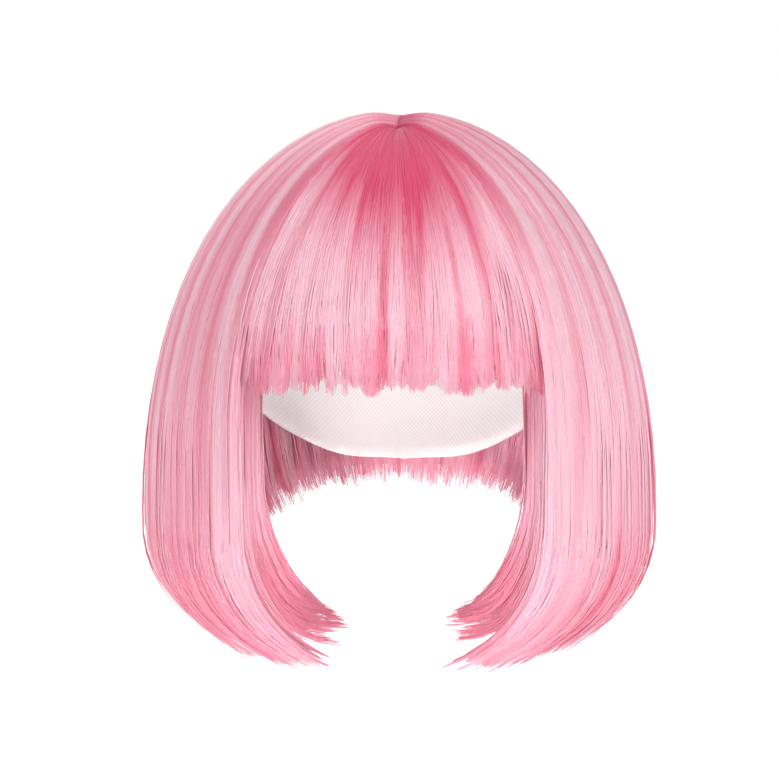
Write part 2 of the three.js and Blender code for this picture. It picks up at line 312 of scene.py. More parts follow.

# The colouring of each mass: how many streaks lie across it, the stretch along the hair over which the
# deep pink of the roots fades, which is painted root shadow, and how deep it is, how much sooner it fades
# towards both edges, how much deeper that painted shadow is at the front edge and how much further it
# reaches there, how much lighter the lengths are at the front edge, how much deeper the tips are, which is
# painted shade on the lower lengths, and how much deeper the whole is.
Fibre = namedtuple(
    "Fibre", "streaks root_from root_to root_depth narrows edge_depth edge_reach front tips shade")
FIBRES = {
    "fringe": Fibre(16.0, 0.35, 0.83, 0.97, 1.5, 0.0, 0.0, 0.0, 0.75, -0.6),
    # The two sides' last columns differ as painted shade: the side hair on the wearer's right and the
    # under hair on the wearer's left, which face away from the key light, are painted deeper.
    "side_left": Fibre(16.0, -0.02, 0.30, 0.6, 0.0, 0.3, 0.08, 0.3, 0.7, -0.26),
    "side_right": Fibre(16.0, -0.02, 0.24, 0.05, 0.0, 0.5, 0.06, 0.55, 0.45, 0.12),
    "under_left": Fibre(12.0, 0.1, 0.5, 0.15, 0.0, 0.0, 0.0, 0.0, 1.0, 0.02),
    "under_right": Fibre(12.0, 0.1, 0.5, 0.15, 0.0, 0.0, 0.0, 0.0, 1.0, -0.05),
    "back": Fibre(30.0, -0.02, 0.24, 0.6, 0.0, 0.0, 0.0, 0.0, 0.0, 0.0),
}
# What each mass adds to the seed.
SEEDS = {"fringe": 1, "side_left": 2, "side_right": 3, "under_left": 4, "under_right": 5, "back": 6}
# Streaks of soft noise that follow the hair: how many times closer than the mass's streaks they lie, how
# often they change along the hair, the slice of the noise and its detail.
Streaks = namedtuple("Streaks", "closer along slice detail")
BROAD = Streaks(1.0, 1.1, 0.0, 1.0)
FINE = Streaks(5.0, 3.0, 3.0, 1.0)
RIDGES = Streaks(9.0, 3.0, 7.0, 2.0)
# The values of the broad streaks over which they turn light and stop being deep, and how deep they are.
STREAK_LIGHT = (0.3, 0.7)
STREAK_DEEP = (0.3, 0.5)
STREAK_DEPTH = 0.3
# The lightness that is taken off the sum of the streaks and tones, and what the fine streaks count in it.
LIGHTNESS = SimpleNamespace(less=0.6, fine=0.2)
# Where the lighter front edge ends across the hair and starts along it, and where the deeper tips, painted
# shade on the lower lengths, start.
FRONT_LIGHT = SimpleNamespace(across=(0.06, 0.2), along=(0.1, 0.5))
TIPS_PAINTED_SHADE = (0.72, 0.95)
# How far the deeper painted root shadow of the front edge reaches across the hair, and how far the broad
# streaks and the strands' tones move the end of all painted root shadow.
SHADED_EDGE_WIDTH = 0.16
ROOT_SHADE_STREAK = 0.18
ROOT_SHADE_TONE = 0.08
# How much deeper in colour a base is than its strands, as painted shade where it shows in the gaps between
# them, and its bump.
BASE_GAP_SHADE = 0.05
BASE_BUMP = SimpleNamespace(strength=0.5, height=0.001)
# The gloss of the fibre. Its roughness varies with the fine streaks.
SATIN = SimpleNamespace(roughness=0.34, varies=0.14, specular=0.25, ior=1.5, sheen=0.06,
                        sheen_roughness=0.4)
# The cap's net: its threads, the share of them that cross down it, its holes' shade, its gloss and bump.
NET = SimpleNamespace(threads=240.0, slant=0.4, holes=0.9, roughness=0.75, varies=0.15, specular=0.3,
                      sheen=0.2, strength=0.5, height=0.0004)
# The floor: its radius and spokes, the closeness of its grain, its roughness and its glow.
FLOOR = SimpleNamespace(reach=8.0, spokes=64, grain=60.0, detail=2.0, roughness=0.6, varies=0.1, glow=0.45)
# Each light, named for its power on the stage: its place, the point that it faces or none for the middle
# of the view, the side of its square and the degrees that it spreads over.
Light = namedtuple("Light", "name place aim size spread")
LIGHTS = (
    Light("key", (1.1, -1.5, 1.1), None, 1.4, 180.0),
    Light("above", (-0.3, 0.1, 1.6), None, 1.6, 180.0),
    Light("fill", (0.1, -1.7, -0.4), None, 1.0, 180.0),
    Light("behind", (-0.5, 1.7, 0.7), None, 1.4, 180.0),
    Light("low", (-0.05, -0.75, -0.4), (0.0, 0.09, -0.16), 0.05, 18.0),
    Light("beside", (-0.5, -0.75, -0.3), (0.06, -0.06, -0.14), 0.05, 12.0),
)


# Curves and surfaces

def smooth(value, low, high):
    """An S-shaped rise from 0 at low to 1 at high: 3 t squared less 2 t cubed."""
    t = np.clip((value - low) / (high - low), 0.0, 1.0)
    return t * t * (3.0 - 2.0 * t)


def blend(first, second, weight):
    """From the first value at weight 0 to the second at weight 1, in a straight line."""
    return first + (second - first) * weight


def table_at(rows, turn):
    """A table's columns at some turns, on a cubic through its rows with slopes of central differences."""
    turns = rows[:, 0]
    values = rows[:, 1:]
    slopes = np.gradient(values, turns, axis=0)
    at = np.clip(turn, turns[0], turns[-1])
    row = np.clip(np.searchsorted(turns, at, side="right") - 1, 0, len(turns) - 2)
    step = (turns[row + 1] - turns[row])[..., None]
    s = (at[..., None] - turns[row][..., None]) / step
    start, end = values[row], values[row + 1]
    leave, arrive = slopes[row] * step, slopes[row + 1] * step
    bend = 2.0 * (start - end) + leave + arrive
    return start + s * (leave + s * (3.0 * (end - start) - 2.0 * leave - arrive + s * bend))


def one_side(turn):
    """A turn past the back, or to the other side of the front, as the one that mirrors it."""
    return np.minimum(np.abs(turn), 360.0 - np.abs(turn))


def outer_dome(shape):
    """The outer face of the hair as a dome over the plan."""
    names = ("half_width", "front", "back", "top", "fullness", "front_level", "side_level", "back_level")
    sizes = {name: getattr(shape, name) for name in names}
    return SimpleNamespace(**sizes, groove=shape.parting_depth, shape=shape)


def inner_dome(shape):
    """The face of the hair that lies on the cap, as a dome over the plan."""
    lift = shape.cap_wall + shape.cap_gap
    level = -shape.cap_height
    return SimpleNamespace(half_width=shape.cap_half_width + lift, front=shape.cap_front + lift,
                           back=shape.cap_back + lift, top=lift, fullness=2.0, front_level=level,
                           side_level=level, back_level=level, groove=0.0, shape=shape)


def rim(dome, turn):
    """A dome's widest line, in plan: its half width by the turn's sine and its depth by the cosine."""
    angle = np.radians(turn)
    depth = np.where(np.cos(angle) > 0.0, dome.front, dome.back)
    return np.stack([dome.half_width * np.sin(angle), -depth * np.cos(angle)], axis=-1)


def dome_height(dome, x, y):
    """Height over the plan: from the widest level up an ellipse of the dome's power, less the parting's
    groove, which fades sideways by the power of e."""
    shape = dome.shape
    across = (x / dome.half_width) ** 2
    spread = across + (y / np.where(y < 0.0, dome.front, dome.back)) ** 2
    sideways = across / np.maximum(spread, TINY)
    level = blend(np.where(y < 0.0, dome.front_level, dome.back_level), dome.side_level, sideways)
    rise = np.clip(1.0 - spread ** (dome.fullness / 2.0), 0.0, 1.0) ** (1.0 / dome.fullness)
    before_crown = smooth(-y, -shape.parting_crown, 0.0)
    behind_front = smooth(y, 2.0 * shape.parting_front, shape.parting_front)
    dip = dome.groove * (before_crown * behind_front) * np.exp(-np.abs(x) / shape.parting_width)
    return level + (dome.top - level) * rise - dip


def hair_paths(dome, roots, turns, hang):
    """Hairs over a dome: in plan from root to rim by a quarter turn's sine, then down, then an arc."""
    s = np.linspace(0.0, 1.0, PATH_STEPS)[None, :, None]
    ends = rim(dome, turns)
    plan = blend(roots[:, None], ends[:, None], np.sin(s * np.pi / 2.0))
    over = np.concatenate([plan, dome_height(dome, plan[..., :1], plan[..., 1:])], axis=2)
    level = over[:, -1:, 2:]
    curl_from = np.minimum(level, hang[:, None, 0:1])
    radius = hang[:, None, 1:2]
    sweep = np.radians(hang[:, None, 2:3])
    heading = np.radians(hang[:, 3])
    inward = np.stack([-np.sin(heading), np.cos(heading)], axis=-1)[:, None]
    still = np.repeat(ends[:, None], PATH_STEPS, axis=1)
    down = np.concatenate([still, blend(level, curl_from, s)], axis=2)
    curl_plan = ends[:, None] + inward * radius * (1.0 - np.cos(s * sweep))
    curl = np.concatenate([curl_plan, curl_from - radius * np.sin(s * sweep)], axis=2)
    return np.concatenate([over, down, curl], axis=1)


def even_steps(paths, count, lowest=None):
    """Points at even steps of each path's length, down to a lowest height if one is given: one
    interpolation over all paths laid end to end, each of which takes up two units and its length one."""
    strides = np.linalg.norm(np.diff(paths, axis=1), axis=2)
    travelled = np.concatenate([np.zeros((len(paths), 1)), np.cumsum(strides, axis=1)], axis=1)
    travelled /= travelled[:, -1:]
    kept = np.ones(len(paths))
    if lowest is not None:
        below = np.argmax(paths[..., 2] < lowest[:, None], axis=1)
        path = np.arange(len(paths))
        high, low = paths[path, below - 1, 2], paths[path, below, 2]
        part = (high - lowest) / (high - low)
        kept = blend(travelled[path, below - 1], travelled[path, below], part)
    shift = 2.0 * np.arange(len(paths))[:, None]
    wanted = np.linspace(0.0, 1.0, count)[None] * kept[:, None] + shift
    known = (travelled + shift).ravel()
    columns = [np.interp(wanted.ravel(), known, paths[..., axis].ravel()) for axis in range(3)]
    return np.stack(columns, axis=-1).reshape(len(paths), count, 3)


def fan_roots(shape, y, turns):
    """Roots on a small arc round an end of the parting."""
    reach = shape.parting_fan / 2.0
    angle = np.radians(turns)
    return np.stack([reach * np.sin(angle), y - reach * np.cos(angle)], axis=-1)


def table_hang(rows, turns):
    """The hang at some turns, with the heading mirrored for turns past the back."""
    hang = table_at(rows, one_side(turns))
    hang[:, 3] = np.where(turns > 180.0, 360.0 - hang[:, 3], hang[:, 3])
    return hang


def under_thickness(across, along):
    """Share of the hair's thickness that the under layer takes."""
    full = blend(UNDER.front, UNDER.past, smooth(across, 0.0, UNDER.front_share))
    return full * smooth(along, *UNDER.grows)


def fringe_faces(across, along):
    """Shares of the hair's thickness at the inner and the outer face of the fringe."""
    outer = blend(FRINGE_HEAD.share, 1.0, smooth(along, *FRINGE_HEAD.stretch))
    outer = outer - FRINGE_OUTSIDE.thins * smooth(along, *FRINGE_OUTSIDE.stretch)
    return FRINGE_INSIDE.thins * smooth(along, *FRINGE_INSIDE.stretch), outer


def side_faces(across, along):
    """Shares of the hair's thickness at the inner and the outer face of the side hair."""
    return under_thickness(across, along) + UNDER.gap / 2.0, np.ones_like(along)


def under_faces(across, along):
    """Shares of the hair's thickness at the inner and the outer face of the under layer."""
    return np.zeros_like(along), under_thickness(across, along) - UNDER.gap / 2.0


def back_faces(across, along):
    """Shares of the hair's thickness at the inner and the outer face of the back hair."""
    return np.zeros_like(along), np.ones_like(along)


class HairMass:
    """A mass of hair between two faces, each a grid of points across it and along its hairs."""

    def __init__(self, kind, faces, mirror=1.0, start=0.0):
        shape = settings().shape
        self.faces = faces
        self.start = start
        self.mirrored = mirror < 0.0
        flip = np.array([mirror, 1.0, 1.0])
        self.outer = flip * self.face_grid(kind, shape, outer_dome(shape), OUTER_HANG, SPANS[kind].outer)
        self.inner = flip * self.face_grid(kind, shape, inner_dome(shape), INNER_HANG, SPANS[kind].inner)

    def face_grid(self, kind, shape, dome, rows, span):
        """Even steps along hairs on a dome. The fringe and the back hair fan from an end of the parting,
        and the side hair leaves it side by side. The fringe hangs straight, and is cut at a height."""
        across = np.linspace(0.0, 1.0, GRID.columns)
        turns = blend(*span, across)
        lowest = None
        hang = table_hang(rows, turns)
        if kind == "fringe":
            roots = fan_roots(shape, shape.parting_front, turns)
            lowest = shape.fringe_cut - shape.fringe_ends * (2.0 * across - 1.0) ** 2
            hang = np.stack([2.0 * lowest, 0.0 * turns, 0.0 * turns, turns], axis=-1)
        elif kind == "back":
            roots = fan_roots(shape, shape.parting_crown, turns)
        else:
            y = blend(shape.parting_front, shape.parting_crown, across)
            roots = np.stack([np.full_like(y, shape.parting_gap), y], axis=-1)
        return even_steps(hair_paths(dome, roots, turns, hang), GRID.rows, lowest)

    def points(self, across, along, depth):
        """Points at shares across, along and of the way from the mass's inner to its outer face."""
        low, high = self.faces(across, along)
        layer = blend(low, high, depth)[..., None]
        return blend(sample(self.inner, across, along), sample(self.outer, across, along), layer)

    def outward(self, across, along):
        """Directions from the inner to the outer face of the hair."""
        return sample(self.outer, across, along) - sample(self.inner, across, along)

    def frontward(self, across, along):
        """Directions out of the front edge of the hair."""
        return sample(self.outer, across, along) - sample(self.outer, across + 1.0 / GRID.columns, along)


def sample(grid, across, along):
    """A grid's points at shares across and along it, each between its four nearest in straight lines."""
    columns, rows = grid.shape[0] - 1, grid.shape[1] - 1
    column = np.clip(np.floor(across * columns).astype(int), 0, columns - 1)
    row = np.clip(np.floor(along * rows).astype(int), 0, rows - 1)
    u = (across * columns - column)[..., None]
    v = (along * rows - row)[..., None]
    near = blend(grid[column, row], grid[column + 1, row], u)
    far = blend(grid[column, row + 1], grid[column + 1, row + 1], u)
    return blend(near, far, v)


def unit(vectors):
    """Vectors of length 1."""
    return vectors / np.maximum(np.linalg.norm(vectors, axis=-1, keepdims=True), TINY)


# Meshes

def new_mesh(name, points, quads, triangles, values, places):
    """A smooth mesh of quads and triangles, with named numbers on its points and a map for baking."""
    mesh = bpy.data.meshes.new(name)
    corners = np.concatenate([quads.ravel(), triangles.ravel()]).astype(np.int32)
    starts = np.concatenate([np.arange(len(quads)) * 4, quads.size + np.arange(len(triangles)) * 3])
    mesh.vertices.add(len(points))
    mesh.vertices.foreach_set("co", points.astype(np.float32).ravel())
    mesh.loops.add(len(corners))
    mesh.loops.foreach_set("vertex_index", corners)
    mesh.polygons.add(len(starts))
    mesh.polygons.foreach_set("loop_start", starts.astype(np.int32))
    mesh.update(calc_edges=True)
    mesh.shade_smooth()
    for key, numbers in values.items():
        layer = mesh.attributes.new(key, "FLOAT", "POINT")
        layer.data.foreach_set("value", numbers.astype(np.float32).ravel())
    baked = mesh.uv_layers.new(name="OFBake")
    baked.data.foreach_set("uv", places.astype(np.float32).ravel())
    if mesh.validate():
        raise RuntimeError(f"{name} is not a clean mesh")
    return mesh


def tubes(points, outward, radii):
    """Three-sided tubes with a side outwards: at each station three corners at thirds of a turn round the
    strand, joined to the next station's by quads, with a triangle at each end. Gives the corners, the
    quads and the ends, and the places of both on a square of the map."""
    strands, stations = points.shape[:2]
    ahead = unit(np.gradient(points, axis=1))
    normal = unit(outward - np.sum(outward * ahead, axis=2, keepdims=True) * ahead)
    beside = np.cross(ahead, normal)
    thirds = (np.arange(3) + 0.5) * 2.0 * np.pi / 3.0
    ring = normal[:, :, None] * np.cos(thirds)[:, None] + beside[:, :, None] * np.sin(thirds)[:, None]
    corners = points[:, :, None] + ring * radii[:, :, None, None]
    at = np.arange(strands * stations * 3).reshape(strands, stations, 3)
    after = np.roll(at, -1, axis=2)
    quads = np.stack([at[:, :-1], after[:, :-1], after[:, 1:], at[:, 1:]], axis=-1).reshape(-1, 4)
    ends = np.stack([at[:, 0, ::-1], at[:, -1]], axis=1).reshape(-1, 3)
    side = np.arange(3.0)
    row = np.arange(stations) / (stations - 1.0)
    u = np.broadcast_to(np.stack([side, side + 1, side + 1, side], axis=-1) / 3.0, (stations - 1, 3, 4))
    v = np.stack([row[:-1], row[:-1], row[1:], row[1:]], axis=-1)[:, None].repeat(3, axis=1)
    quad_places = MAP_INSET + (1.0 - 2.0 * MAP_INSET) * np.stack([u, v], axis=-1).reshape(-1, 2)
    end_places = np.concatenate([MAP_ROOT, 1.0 - MAP_ROOT])
    return corners.reshape(-1, 3), quads, ends, quad_places, end_places


def strand_mesh(name, layers):
    """Layers of strands joined in one mesh. Each strand has its own cell in a square grid on the map."""
    cells = math.ceil(math.sqrt(sum(len(layer.points) for layer in layers)))
    points, quads, ends, quad_places, end_places = [], [], [], [], []
    values = {key: [] for key in layers[0].values}
    first_point = 0
    first_strand = 0
    for layer in layers:
        made = tubes(layer.points, layer.outward, layer.radii)
        corners, layer_quads, layer_ends, in_quads, in_ends = made
        order = np.arange(first_strand, first_strand + len(layer.points))
        cell = np.stack([order % cells, order // cells], axis=-1)[:, None]
        points.append(corners)
        quads.append(layer_quads + first_point)
        ends.append(layer_ends + first_point)
        quad_places.append((cell + in_quads).reshape(-1, 2) / cells)
        end_places.append((cell + in_ends).reshape(-1, 2) / cells)
        for key, numbers in layer.values.items():
            values[key].append(np.repeat(numbers.reshape(-1), 3))
        first_point += len(corners)
        first_strand += len(layer.points)
    joined = {key: np.concatenate(numbers) for key, numbers in values.items()}
    places = np.concatenate(quad_places + end_places)
    faces = np.concatenate(quads), np.concatenate(ends)
    return new_mesh(name, np.concatenate(points), *faces, joined, places)


def slab_mesh(name, outer, inner, values):
    """A closed wall between two grids of points of the same columns and rows, with strips at its edges."""
    columns, rows = outer.shape[:2]
    out = np.arange(columns * rows).reshape(columns, rows)
    into = out + columns * rows

    def cells(grid):
        corners = [grid[:-1, :-1], grid[:-1, 1:], grid[1:, 1:], grid[1:, :-1]]
        return np.stack(corners, axis=-1).reshape(-1, 4)

    def strip(line, other):
        return np.stack([line[:-1], line[1:], other[1:], other[:-1]], axis=-1)

    quads = np.concatenate([
        cells(out), cells(into)[:, ::-1], strip(out[:, 0], into[:, 0]), strip(into[:, -1], out[:, -1]),
        strip(into[0], out[0]), strip(out[-1], into[-1]),
    ])
    u, v = np.meshgrid(np.linspace(0.0, 1.0, columns), np.linspace(0.0, 1.0, rows), indexing="ij")
    face = np.stack([WALL_MAP.margin + WALL_MAP.wide * u, WALL_MAP.margin + WALL_MAP.high * v], axis=-1)
    face = face.reshape(-1, 2)
    places = np.concatenate([face, face + np.array([WALL_MAP.step, 0.0])])[quads]
    edges = places[2 * (columns - 1) * (rows - 1):, :, 0]
    edges[:] = np.where(edges > WALL_MAP.past, edges - WALL_MAP.step + WALL_MAP.edge, edges)
    points = np.concatenate([outer.reshape(-1, 3), inner.reshape(-1, 3)])
    both = {key: np.tile(numbers.reshape(-1), 2) for key, numbers in values.items()}
    return new_mesh(name, points, quads, np.zeros((0, 3), int), both, places.reshape(-1, 2))


def capped_ring_mesh(name, points, values):
    """A closed surface round an upright axis, from one pole to another: columns of points that all start
    at one point and end at one point, joined round by quads, with a fan of triangles at each pole."""
    columns, rows = points.shape[:2]
    ring = points[:, 1:-1]
    poles = points[0, [0, -1]]
    at = np.arange(columns * (rows - 2)).reshape(columns, rows - 2)
    beside = np.roll(at, -1, axis=0)
    quads = np.stack([at[:, :-1], at[:, 1:], beside[:, 1:], beside[:, :-1]], axis=-1).reshape(-1, 4)
    first = np.full(columns, at.size)
    fans = np.concatenate([
        np.stack([first, at[:, 0], beside[:, 0]], axis=-1),
        np.stack([first + 1, beside[:, -1], at[:, -1]], axis=-1),
    ])
    u, v = np.meshgrid(np.arange(columns + 1) / columns, np.linspace(0.0, 1.0, rows), indexing="ij")
    place = np.stack([u, v], axis=-1)
    quad_places = np.stack([place[:-1, 1:-2], place[:-1, 2:-1], place[1:, 2:-1], place[1:, 1:-2]], axis=2)
    top_places = np.stack([(place[:-1, 0] + place[1:, 0]) / 2.0, place[:-1, 1], place[1:, 1]], axis=1)
    end_places = np.stack([(place[:-1, -1] + place[1:, -1]) / 2.0, place[1:, -2], place[:-1, -2]], axis=1)
    places = np.concatenate([part.reshape(-1, 2) for part in (quad_places, top_places, end_places)])
    spread = {}
    for key, numbers in values.items():
        spread[key] = np.concatenate([numbers[:, 1:-1].ravel(), numbers[0, [0, -1]]])
    return new_mesh(name, np.concatenate([ring.reshape(-1, 3), poles]), quads, fans, spread, places)


def add_piece(name, mesh, material, node=None):
    """Adds a mesh to the scene as a piece that rides on the wig, and stands for a node if one is named."""
    mesh.materials.append(material)
    piece = bpy.data.objects.new(name, mesh)
    bpy.context.scene.collection.objects.link(piece)
    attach(piece, BODY)
    if node:
        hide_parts(node)


# Combing

def bend_stations(mass, count):
    """Shares along a mass's hairs for a strand's corners: even steps of the sum of the root of the mean
    bend, with a little for straight stretches, so that they lie closer where the hair bends."""
    ahead = unit(np.diff(mass.outer, axis=1))
    bend = np.linalg.norm(np.diff(ahead, axis=1), axis=2).mean(axis=0)
    along = np.linspace(0.0, 1.0, GRID.rows)[1:-1]
    used = along > mass.start
    bend, along = bend[used], along[used]
    weight = np.sqrt(bend + STRAIGHT * bend.mean())
    closeness = np.cumsum(weight * np.where(along < ROOT_CLOSER.stretch, ROOT_CLOSER.times, 1.0))
    closeness = (closeness - closeness[0]) / (closeness[-1] - closeness[0])
    share_along = (along - along[0]) / (along[-1] - along[0])
    return np.interp(np.linspace(0.0, 1.0, count), closeness, share_along)


def draw_locks(layer, tips, seed):
    """What a lock's strands share, for each strand: the lock's middle, length and tone, and how far its
    tip drifts sideways and in depth. Each layer draws anew, so layers with as many locks have the same."""
    rng = np.random.default_rng(seed)
    count = layer.locks
    place = (np.arange(count) + 0.5 + rng.uniform(-LOCK.moved, LOCK.moved, count)) / count
    shorter = settings().strands.ragged * rng.uniform(0.0, 1.0, count) ** LOCK.ragged
    drawn = {
        "middle": blend(layer.low, 1.0, place),
        "length": tips.longest - shorter,
        "tone": rng.normal(0.0, LOCK.tone, count),
        "drift": rng.uniform(-LOCK.drift, LOCK.drift, count),
        "sink": rng.uniform(-LOCK.sink, LOCK.sink, count),
    }
    lock = np.arange(layer.strands) % count
    return SimpleNamespace(**{key: numbers[lock] for key, numbers in drawn.items()})


def comb_layer(mass, layer, tips, stations, locks, rng):
    """The strands of one layer. They lie on a half round over the middle of their lock, which closes
    towards the tip, and waver on slow waves. A strand is shorter the further it is from its lock's middle
    and from the depth of the longest, by the squares, and near the front edge. The tips draw to one
    depth, spread outwards by the square of their depth, and turn up by the square of the way from where
    they start to, most at half depth. Gives the strands' points, outward directions, radii and values."""
    strands = settings().strands
    count = layer.strands
    on_front = layer.face == "front"
    in_depth, from_front = (locks.middle, layer.level) if on_front else (layer.level, locks.middle)
    in_lock = math.ceil(count / layer.locks)
    order = (np.arange(count) // layer.locks + rng.uniform(0.0, 1.0, count)) / in_lock
    sideways = 2.0 * order - 1.0
    deep = np.sqrt(1.0 - sideways ** 2) * (1.0 - LOCK.flat * rng.uniform(0.0, 1.0, count) ** 2) - 0.5
    phase = rng.uniform(0.0, 2.0 * np.pi, (2, count, 1))
    waves = rng.uniform(*WAVES, (2, count, 1))
    size = locks.length - strands.pointed * sideways ** 2 - np.abs(rng.normal(0.0, tips.uneven, count))
    size = size - tips.slant * (in_depth - tips.peak) ** 2
    size = size - tips.front_slant * (1.0 - smooth(from_front, 0.0, FRONT_REACH))
    tone = 0.5 + locks.tone + rng.normal(0.0, LOCK.strand_tone, count)
    strays = rng.uniform(0.0, 1.0, (count, 1)) < strands.stray

    way = np.concatenate([[layer.start], stations[stations > layer.start]])
    along = blend(mass.start, 1.0, way * size[:, None])
    close = 1.0 - layer.clump * smooth(along, tips.closes, LOCK.closed)
    swing = np.sin(waves * 2.0 * np.pi * along + phase)
    wave = strands.waver * swing[0] * smooth(along, *OVER.waver)
    ripple = LOCK.ripple * swing[1] * smooth(along, *OVER.ripple)
    drift = locks.drift[:, None] * smooth(along, *OVER.drift)
    half = LOCK.half * (1.0 - layer.low) / layer.locks
    beside = locks.middle[:, None] + half * (sideways[:, None] * close + wave + drift)
    bulge = deep[:, None] * close + ripple + locks.sink[:, None] * smooth(along, *OVER.sink)
    level = layer.level + layer.thick * np.clip(bulge, -LOCK.bulge, LOCK.bulge)
    if not on_front:
        level = level + strands.stray_rise * np.sign(layer.thick) * strays * smooth(along, *OVER.stray)

    across, depth = (level, beside) if on_front else (beside, level)
    depth = blend(depth, tips.depth, tips.gather * smooth(along, *OVER.gather))
    depth = depth + tips.spread * depth ** 2 * smooth(along, *OVER.spread)
    buried = BURIED_START if layer.start else strands.root_depth
    depth = depth * blend(buried, 1.0, smooth(way, layer.start, layer.start + strands.root_rise))
    points = mass.points(across, along, depth)
    turned = np.maximum((way - FLICK_FROM) / (1.0 - FLICK_FROM), 0.0) ** 2
    points[..., 2] += tips.flick * np.reshape(4.0 * in_depth * (1.0 - in_depth), (-1, 1)) * turned
    radii = strands.strand_radius * (1.0 - THIN_TIP * smooth(way, *OVER.thin))
    return SimpleNamespace(
        points=points,
        outward=mass.frontward(across, along) if on_front else mass.outward(across, along),
        radii=np.broadcast_to(radii, along.shape),
        values={
            "along": along,
            "across": np.clip(across, 0.0, 1.0),
            "tone": np.broadcast_to(np.clip(tone, 0.0, 1.0)[:, None], along.shape),
        },
    )


def comb(mass, kind, seed):
    """All layers of a mass's strands, which share one row of random draws."""
    rng = np.random.default_rng(seed)
    stations = bend_stations(mass, STATIONS[kind])
    tips = TIPS[kind]
    combed = []
    for layer in LAYERS[kind]:
        locks = draw_locks(layer, tips, seed)
        combed.append(comb_layer(mass, layer, tips, stations, locks, rng))
    return combed


def base_mesh(name, mass, kind):
    """The closed base under the strands. Its outer face lies a little below theirs, more so at the roots.
    Its two faces close to a thin edge: at the sides by the root of one less the square, and at the tips
    by an S-shaped fall to the depth to which the tips draw."""
    base = BASES[kind]
    tips_depth = TIPS[kind].depth
    breadth = np.linspace(BASE_FORM.margin, 1.0 - BASE_FORM.margin, base.columns)
    steps = np.linspace(0.0, 1.0, base.rows) ** BASE_FORM.crowds
    across, along = np.meshgrid(breadth, blend(mass.start, base.stop, steps), indexing="ij")
    edge = np.clip((np.minimum(across, 1.0 - across) - BASE_FORM.margin) / BASE_FORM.edge, 0.0, 1.0)
    full = np.sqrt(1.0 - BASE_FORM.thins * (1.0 - edge) ** 2)
    rise = smooth(along - mass.start, 0.0, settings().strands.root_rise)
    fall = smooth(along, base.stop - BASE_FORM.closes, base.stop)
    top = blend(base.surface * blend(BASE_FORM.root, 1.0, rise), tips_depth, fall)
    bottom = blend(BASE_FORM.inside, tips_depth - BASE_FORM.ends, fall)
    middle = (top + bottom) / 2.0
    outer = mass.points(across, along, blend(middle, top, full))
    inner = mass.points(across, along, blend(middle, bottom, full))
    if mass.mirrored:
        outer, inner, across, along = outer[::-1], inner[::-1], across[::-1], along[::-1]
    values = {"along": along, "across": across, "tone": np.full_like(along, BASE_FORM.tone)}
    return slab_mesh(name, outer, inner, values)


def add_hair(mass, kind, node, side=""):
    """A mass of hair as two pieces: its closed base, which stands for a node, and its strands."""
    end = f"_{side}" if side else ""
    fibre = FIBRES[kind + end]
    base = f"{kind}_base{end}"
    strands = f"{kind}_strands{end}"
    strand_fibre = hair_finish(f"{kind}_fibre{end}", fibre)
    base_fibre = hair_finish(base, fibre, BASE_GAP_SHADE)
    add_piece(base, base_mesh(base, mass, kind), base_fibre, node)
    combed = comb(mass, kind, settings().strands.seed + SEEDS[kind + end])
    add_piece(strands, strand_mesh(strands, combed), strand_fibre)


# Materials

class Socket:
    """A socket of a material's nodes. Arithmetic on it adds Math nodes."""

    def __init__(self, finish, socket):
        self.finish = finish
        self.socket = socket

    def math(self, operation, first, second):
        return self.finish.node("ShaderNodeMath", {"operation": operation}, {0: first, 1: second})

    def __add__(self, other):
        return self.math("ADD", self, other)

    def __radd__(self, other):
        return self.math("ADD", other, self)

    def __sub__(self, other):
        return self.math("SUBTRACT", self, other)

    def __rsub__(self, other):
        return self.math("SUBTRACT", other, self)

    def __mul__(self, other):
        return self.math("MULTIPLY", self, other)

    def __rmul__(self, other):
        return self.math("MULTIPLY", other, self)


class Finish:
    """A material made of nodes round one Principled shader."""

    def __init__(self, name):
        self.material = bpy.data.materials.new(name)
        self.material.use_nodes = True
        self.tree = self.material.node_tree
        self.shader = self.tree.nodes["Principled BSDF"]

    def node(self, kind, options=None, sockets=None, output=0):
        """Adds a node, sets its options, then its sockets' values or links, and gives one output."""
        made = self.tree.nodes.new(kind)
        for key, option in (options or {}).items():
            setattr(made, key, option)
        for key, value in (sockets or {}).items():
            self.plug(made.inputs[key], value)
        return Socket(self, made.outputs[output])

    def plug(self, place, value):
        """Links a socket to an input, or sets the input's own value."""
        if isinstance(value, Socket):
            self.tree.links.new(value.socket, place)
        else:
            place.default_value = value

    def set(self, **inputs):
        """Sets or links the shader's inputs, named with underscores."""
        for key, value in inputs.items():
            self.plug(self.shader.inputs[key.replace("_", " ")], value)

    def attribute(self, name):
        """A number that the piece carries on its points."""
        return self.node("ShaderNodeAttribute", {"attribute_name": name}, output="Fac")

    def vector(self, x, y, z):
        """Three numbers as a vector."""
        return self.node("ShaderNodeCombineXYZ", None, {"X": x, "Y": y, "Z": z})

    def noise(self, vector, scale, detail):
        """Soft noise from 0 to 1 at a vector."""
        return self.node("ShaderNodeTexNoise", None, {"Vector": vector, "Scale": scale, "Detail": detail})

    def rise(self, value, low, high):
        """An S-shaped rise from 0 at low to 1 at high."""
        sockets = {"Value": value, "From Min": low, "From Max": high}
        return self.node("ShaderNodeMapRange", {"interpolation_type": "SMOOTHSTEP"}, sockets)

    def mix(self, weight, first, second):
        """From the first colour to the second."""
        return self.node("ShaderNodeMix", {"data_type": "RGBA"}, {0: weight, 6: first, 7: second}, 2)

    def wave(self, value):
        """Half of one plus the sine of a number of turns."""
        return 0.5 + 0.5 * self.node("ShaderNodeMath", {"operation": "SINE"}, {0: value * (2.0 * math.pi)})

    def bump(self, strength, height, relief):
        """The shader's normal over a relief of a height in metres."""
        sockets = {"Strength": strength, "Distance": height, "Height": relief}
        self.set(Normal=self.node("ShaderNodeBump", None, sockets))


def rgba(values):
    """A colour with full alpha."""
    return (*values, 1.0)


